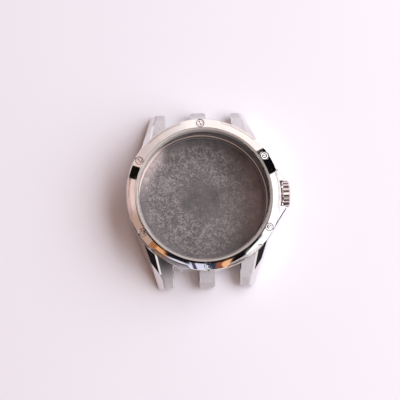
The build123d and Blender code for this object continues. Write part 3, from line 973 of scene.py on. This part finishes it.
def grow_cap(form, edges, rings):
    """Grow a wall from a loop through rings of a height and a radius, or a share of the loop; cap it."""
    for height, radius, share in rings:
        grown = bmesh.ops.extrude_edge_only(form, edges=edges)["geom"]
        for vert in (item for item in grown if isinstance(item, bmesh.types.BMVert)):
            flat = Vector((vert.co.x, vert.co.y, 0))
            flat = flat.normalized() * radius if radius else flat * share
            vert.co = (flat.x, flat.y, height)
        edges = [item for item in grown if isinstance(item, bmesh.types.BMEdge)
                 and all(abs(vert.co.z - height) < FINE_WELD for vert in item.verts)]
    bmesh.ops.edgeloop_fill(form, edges=edges)


class WATCHCASE_OT_crown(bpy.types.Operator):
    """Fluted crown with a domed face and a recess for the tube"""
    bl_idname = "watchcase.crown"
    bl_label = "Crown"

    def execute(self, context):
        sizes, tints = context.scene.watchcase_crown, context.scene.watchcase_finishes
        start, front = crown_low.x, crown_high.x - sizes.dome
        floor = front - sizes.floor_thickness
        end_share = (crown_radius - sizes.edge) / crown_radius
        dome_steps, step, face_step, least_dome = 6, 0.001 * MM, 0.01 * MM, 0.012 * MM
        shares = [1 - order / dome_steps for order in range(1, dome_steps)]
        dome = [(front + max(sizes.dome * (1 - share ** 2), least_dome), sizes.face_radius * share, None)
                for share in shares]
        form = bmesh.new()
        loop = fluted_loop(form, sizes, start + sizes.edge)
        grow_cap(form, loop, [
            (front - sizes.edge, None, 1.0), (front, None, end_share),
            (front + face_step, sizes.face_radius, None), *dome])
        grow_cap(form, loop, [
            (start, None, end_share), (start + step, sizes.recess_radius, None),
            (floor, sizes.recess_radius, None), (floor + step, sizes.post_radius, None),
            (floor + sizes.post_seat, sizes.post_radius, None)])
        bmesh.ops.recalc_face_normals(form, faces=form.faces)
        rotate(form, math.pi / 2, "Y")
        bmesh.ops.translate(form, vec=(0, 0, crown_axis), verts=form.verts)
        # Faces deeper in the grooves than the unshaded share get painted shade
        painted_shade_radius, most_forward = crown_radius - sizes.flute_depth * sizes.unshaded_share, 0.3
        for face in form.faces:
            middle = face.calc_center_median()
            reach = math.hypot(middle.y, middle.z - crown_axis)
            if sizes.face_radius < reach < painted_shade_radius and abs(face.normal.x) < most_forward:
                face.material_index = 1
        finish_piece(form, "fluted_crown", "crown_head", [
            polished_steel("Crown steel", tints.crown, 0.1, 0.2),
            brushed_steel("Groove", tints.groove)], ["crown"])
        return {"FINISHED"}


class WATCHCASE_OT_small_parts(bpy.types.Operator):
    """Finishes for the gaskets, tube, post and washer that stay as they are"""
    bl_idname = "watchcase.small_parts"
    bl_label = "Small Parts"

    def execute(self, context):
        tints = context.scene.watchcase_finishes
        steel = brushed_steel("Small turned steel", tints.inner)
        black = rubber("Rubber", tints.rubber)
        finishes = {"bezel_gasket": black, "back_gasket": black, "crown_gasket": black,
                    "crown_tube": steel, "crown_post": steel, "crown_washer": steel}
        for name, material in finishes.items():
            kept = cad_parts[name]
            kept.data.materials.clear()
            kept.data.materials.append(material)
        return {"FINISHED"}


# Studio

# Things overhead: centre and half size in millimetres, turn in degrees, softness, colour
OVERHEAD_PATCHES = (
    ((8.5, 18.5), (9.0, 4.5), -27, 0.5, (1.36, 1.25, 1.21)),
    ((-23.0, -2.0), (8.0, 10.0), 0, 0.5, (0.99, 0.755, 0.70)),
    ((-17.5, -13.5), (7.0, 4.5), -42, 0.5, (0.60, 0.40, 0.32)),
    ((-5.0, -21.5), (8.2, 5.0), 0, 0.12, (0.46, 0.45, 0.56)),
    ((-3.0, -21.0), (3.2, 5.0), 12, 0.35, (0.88, 0.90, 1.10)),
    ((-3.9, -20.5), (0.35, 3.0), 20, 0.5, (0.10, 0.08, 0.13)),
    ((-9.0, -18.9), (2.4, 0.35), -22, 0.5, (0.95, 0.97, 1.10)),
    ((-12.9, -15.6), (2.3, 1.1), -40, 0.12, (1.05, 0.50, 0.22)),
    ((-15.3, -14.4), (0.9, 1.6), -40, 0.3, (0.46, 0.19, 0.08)),
    ((1.6, -21.0), (0.9, 4.0), 0, 0.3, (0.04, 0.06, 0.12)),
    ((4.6, -21.0), (2.3, 4.0), -8, 0.18, (0.34, 0.12, 0.06)),
    ((5.6, -20.2), (1.5, 1.0), 35, 0.25, (1.10, 0.60, 0.30)),
    ((9.0, -19.6), (2.6, 1.9), 48, 0.12, (0.008, 0.006, 0.006)),
    ((12.3, -15.3), (3.9, 0.5), 44, 0.3, (0.010, 0.008, 0.008)),
    ((-12.8, -19.6), (6.5, 1.5), -33, 0.3, (0.09, 0.06, 0.065)),
    ((-8.5, -17.9), (3.4, 0.55), -25, 0.25, (0.010, 0.008, 0.012)),
    ((18.55, 8.8), (3.4, 3.85), 25.3, 0.04, (0.006, 0.005, 0.006)),
    ((-19.3, 6.9), (3.4, 1.9), -19.7, 0.03, (0.008, 0.006, 0.004)),
    ((17.84, 10.3), (1.0, 1.0), 0, 0.1, (2.1, 2.1, 2.1)),
)

# The map over the table, as a mirror at the bezel's top shows it: its scale, its shift in millimetres
MAP_SCALE = 0.976
MAP_SHIFT = (-31.8, -81.4)


def patch(tree, across, along, centre, half, angle, soft):
    """A soft-edged, rounded rectangle in two coordinates in millimetres: 1 inside, 0 outside."""
    roundness = 6
    du = maths(tree, "SUBTRACT", across, centre[0])
    dv = maths(tree, "SUBTRACT", along, centre[1])
    cosine, sine = math.cos(angle), math.sin(angle)
    first = maths(tree, "MULTIPLY_ADD", du, cosine / half[0], times(tree, dv, sine / half[0]))
    second = maths(tree, "MULTIPLY_ADD", dv, cosine / half[1], times(tree, du, -sine / half[1]))
    reach = maths(tree, "ADD", *(maths(tree, "POWER", maths(tree, "ABSOLUTE", side), roundness)
                                 for side in (first, second)))
    return fade(tree, reach, (1 - soft) ** roundness, (1 + soft) ** roundness, 1.0, 0.0)


def overhead_room(tree, dx, dy, dz, settings):
    """What hangs over the table, laid out in millimetres on the bezel's top as its mirror shows it."""
    left_tone, right_tone, lens_tone = (0.80, 0.67, 0.645), (1.5, 1.5, 1.52), (0.012, 0.011, 0.012)
    left_edge, right_edge = -19.0, 11.0
    lens_edge, lens_shift = (19.4, 19.6), 0.5
    scale = settings.camera_distance / MM * MAP_SCALE
    across, along = (maths(tree, "MULTIPLY_ADD", maths(tree, "DIVIDE", side, dz), scale, shift)
                     for side, shift in zip((dx, dy), MAP_SHIFT))
    tones = blend_colours(tree, fade(tree, across, left_edge, right_edge), left_tone, right_tone)
    for centre, half, angle, soft, tint in OVERHEAD_PATCHES:
        mask = patch(tree, across, along, centre, half, math.radians(angle), soft)
        tones = blend_colours(tree, mask, tones, tint)
    square = maths(tree, "POWER", maths(tree, "ADD", along, lens_shift), 2.0)
    reach = maths(tree, "SQRT", maths(tree, "MULTIPLY_ADD", across, across, square))
    return blend_colours(tree, fade(tree, reach, *lens_edge, 1.0, 0.0), tones, lens_tone)


def room_walls(tree, dx, dy, dz):
    """The room that mirrors see beside the table: pale walls, and a dark room beyond it on the left."""
    left_tone, right_tone, far_tone = (0.50, 0.40, 0.385), (1.05, 1.0, 1.03), (1.05, 0.98, 1.0)
    near_tone, near_high_tone, dark_tone = (1.05, 0.99, 0.98), (0.20, 0.18, 0.195), (0.016, 0.013, 0.014)

    # Dim on the left, pale on the far side; the near side is pale half way up
    walls = blend_colours(tree, fade(tree, dx, -0.7, 0.7), left_tone, right_tone)
    walls = blend_colours(tree, fade(tree, dy, 0.1, 0.7), walls, far_tone)
    near = fade(tree, dy, 0.0, -0.3)
    walls = blend_colours(tree, near, walls, blend_colours(tree, fade(tree, dz, 0.58, 0.74), near_tone,
                                                           near_high_tone))

    # The dark room: a low band on the left, higher near by, and a low one at the right near corner
    left = fade(tree, dx, 0.3, 0.0)
    near_left = times(tree, near, fade(tree, maths(tree, "ABSOLUTE", dx), 0.4, 0.62), left,
                      fade(tree, dz, 0.46, 0.22))
    near_right = times(tree, fade(tree, dx, 0.5, 0.7), fade(tree, dy, -0.25, -0.4),
                       fade(tree, dz, 0.14, 0.06))
    low_left = times(tree, fade(tree, dz, 0.18, 0.11), left, fade(tree, dy, 0.5, 0.2))
    dark = maths(tree, "MAXIMUM", maths(tree, "MAXIMUM", near_left, near_right), low_left)
    return blend_colours(tree, dark, walls, dark_tone)


def room_world(settings):
    """Even room light, and for reflections the walls and the things overhead."""
    floor_share, roof_share, even_span, overhead_span = 0.37, 1.23, (0.2, 0.8), (0.945, 0.955)
    world = bpy.data.worlds.new("Room")
    bpy.context.scene.world = world
    world.use_nodes = True
    tree = world.node_tree
    tree.nodes.clear()
    path = node(tree, "ShaderNodeLightPath").outputs
    dx, dy, dz = components(tree, node(tree, "ShaderNodeTexCoord").outputs["Generated"])
    mirrored = blend_colours(tree, fade(tree, dz, *overhead_span), room_walls(tree, dx, dy, dz),
                             overhead_room(tree, dx, dy, dz, settings))
    low, high = (darker(settings.room, settings.room_strength * share)
                 for share in (floor_share, roof_share))
    even = blend_colours(tree, fade(tree, dz, *even_span), low, high)
    tones = blend_colours(tree, path["Is Glossy Ray"], even, mirrored)
    tones = blend_colours(tree, path["Is Camera Ray"], tones, tuple(settings.table))
    background = node(tree, "ShaderNodeBackground", {"Color": tones, "Strength": 1.0})
    feed(tree, tree.nodes.new("ShaderNodeOutputWorld"), Surface=background.outputs[0])


def window_light(settings, target):
    """A large area lamp that points at a target."""
    lamp = bpy.data.lights.new("Window light", "AREA")
    lamp.shape = "RECTANGLE"
    lamp.size, lamp.size_y = settings.window_width, settings.window_height
    lamp.energy = settings.window_power
    lamp.color = settings.window
    lamp_object = bpy.data.objects.new("Window light", lamp)
    bpy.context.scene.collection.objects.link(lamp_object)
    lamp_object.location = settings.window_place
    towards = Vector(target) - settings.window_place
    lamp_object.rotation_euler = towards.to_track_quat("-Z", "Y").to_euler()


def table_material(tint):
    """Pale table top with a faint tone change; mirrors see its near side end a hand's breadth away."""
    material, tree, shader = new_material("Table", Roughness=0.7, Specular_IOR_Level=0.2)
    if tree:
        low_tone, high_tone, far_tone, specular = 0.985, 1.01, 0.03, 0.2
        far_span, near_span = (60 * MM, 100 * MM), (-25 * MM, -45 * MM)
        vector = object_vector(tree)
        cloud = noise(tree, vector, 4.0, Detail=2.0)
        pale = blend_colours(tree, cloud, darker(tint, low_tone), darker(tint, high_tone))
        far = fade(tree, vector_maths(tree, "LENGTH", vector)["Value"], *far_span)
        near = fade(tree, components(tree, vector)[1], *near_span)
        beyond = times(tree, node(tree, "ShaderNodeLightPath").outputs["Is Glossy Ray"], far, near)
        feed(tree, shader, Base_Color=blend_colours(tree, beyond, pale, darker(tint, far_tone)),
             Specular_IOR_Level=fade(tree, beyond, 0.0, 1.0, specular, 0.0))
    return material


def photo_camera(settings):
    """The camera at the picture's place, tilt, turn and roll."""
    turned = (Matrix.Rotation(settings.camera_roll, 3, "Z")
              @ Matrix.Rotation(settings.camera_tilt, 3, "X")
              @ Matrix.Rotation(settings.camera_turn, 3, "Z"))
    back = turned.transposed()
    offset = back @ Vector((-settings.camera_aside, -settings.camera_raise, settings.camera_distance))
    data = bpy.data.cameras.new("Picture camera")
    data.sensor_fit = "HORIZONTAL"
    data.sensor_width = 36
    data.lens = data.sensor_width * settings.focal_ratio
    data.clip_start, data.clip_end = 0.01, 20
    camera = bpy.data.objects.new("Picture camera", data)
    bpy.context.scene.collection.objects.link(camera)
    camera.matrix_world = Matrix.Translation(offset + Vector((0, 0, bezel_top))) @ back.to_4x4()
    bpy.context.scene.camera = camera


class WATCHCASE_OT_studio(bpy.types.Operator):
    """Pale table, window light, room and camera"""
    bl_idname = "watchcase.studio"
    bl_label = "Studio"

    def execute(self, context):
        settings = context.scene.watchcase_studio
        form = bmesh.new()
        bmesh.ops.create_grid(form, x_segments=1, y_segments=1, size=settings.table_half)
        table = new_object(form, "table_top")
        table.data.materials.append(table_material(settings.table))
        window_light(settings, (0, 0, bezel_top / 2))
        room_world(settings)
        photo_camera(settings)
        context.scene.view_settings.view_transform = "Standard"
        return {"FINISHED"}


class WATCHCASE_PT_panel(bpy.types.Panel):
    """Steps of the watch case, in order"""
    bl_label = "Watch Case"
    bl_idname = "WATCHCASE_PT_panel"
    bl_space_type = "VIEW_3D"
    bl_region_type = "UI"
    bl_category = "Watch Case"

    def draw(self, context):
        for item in OPERATORS:
            self.layout.operator(item.bl_idname)
        for name in SETTINGS:
            box = self.layout.box()
            settings = getattr(context.scene, name)
            for key in settings.bl_rna.properties.keys():
                if key not in ("rna_type", "name"):
                    box.prop(settings, key)


SETTINGS = {"watchcase_case": CaseSizes, "watchcase_bezel": BezelSizes, "watchcase_glass": GlassSizes,
            "watchcase_crown": CrownSizes, "watchcase_back_screws": BackScrewSizes,
            "watchcase_finishes": Finishes, "watchcase_studio": StudioSettings}
OPERATORS = (WATCHCASE_OT_middle_case, WATCHCASE_OT_bezel, WATCHCASE_OT_bezel_screws, WATCHCASE_OT_glass,
             WATCHCASE_OT_glass_ring, WATCHCASE_OT_back, WATCHCASE_OT_back_screws, WATCHCASE_OT_crown,
             WATCHCASE_OT_small_parts, WATCHCASE_OT_studio)


def register():
    """Add the settings, operators and panel."""
    for item in (*SETTINGS.values(), *OPERATORS, WATCHCASE_PT_panel):
        bpy.utils.register_class(item)
    for name, settings in SETTINGS.items():
        setattr(bpy.types.Scene, name, PointerProperty(type=settings))


def unregister():
    """Take them away again."""
    for name in SETTINGS:
        delattr(bpy.types.Scene, name)
    for item in (WATCHCASE_PT_panel, *reversed(OPERATORS), *reversed(SETTINGS.values())):
        bpy.utils.unregister_class(item)


def main():
    """Build every piece and the studio."""
    register()
    for item in OPERATORS:
        getattr(bpy.ops.watchcase, item.bl_idname.split(".")[1])()


if __name__ == "__main__":
    main()
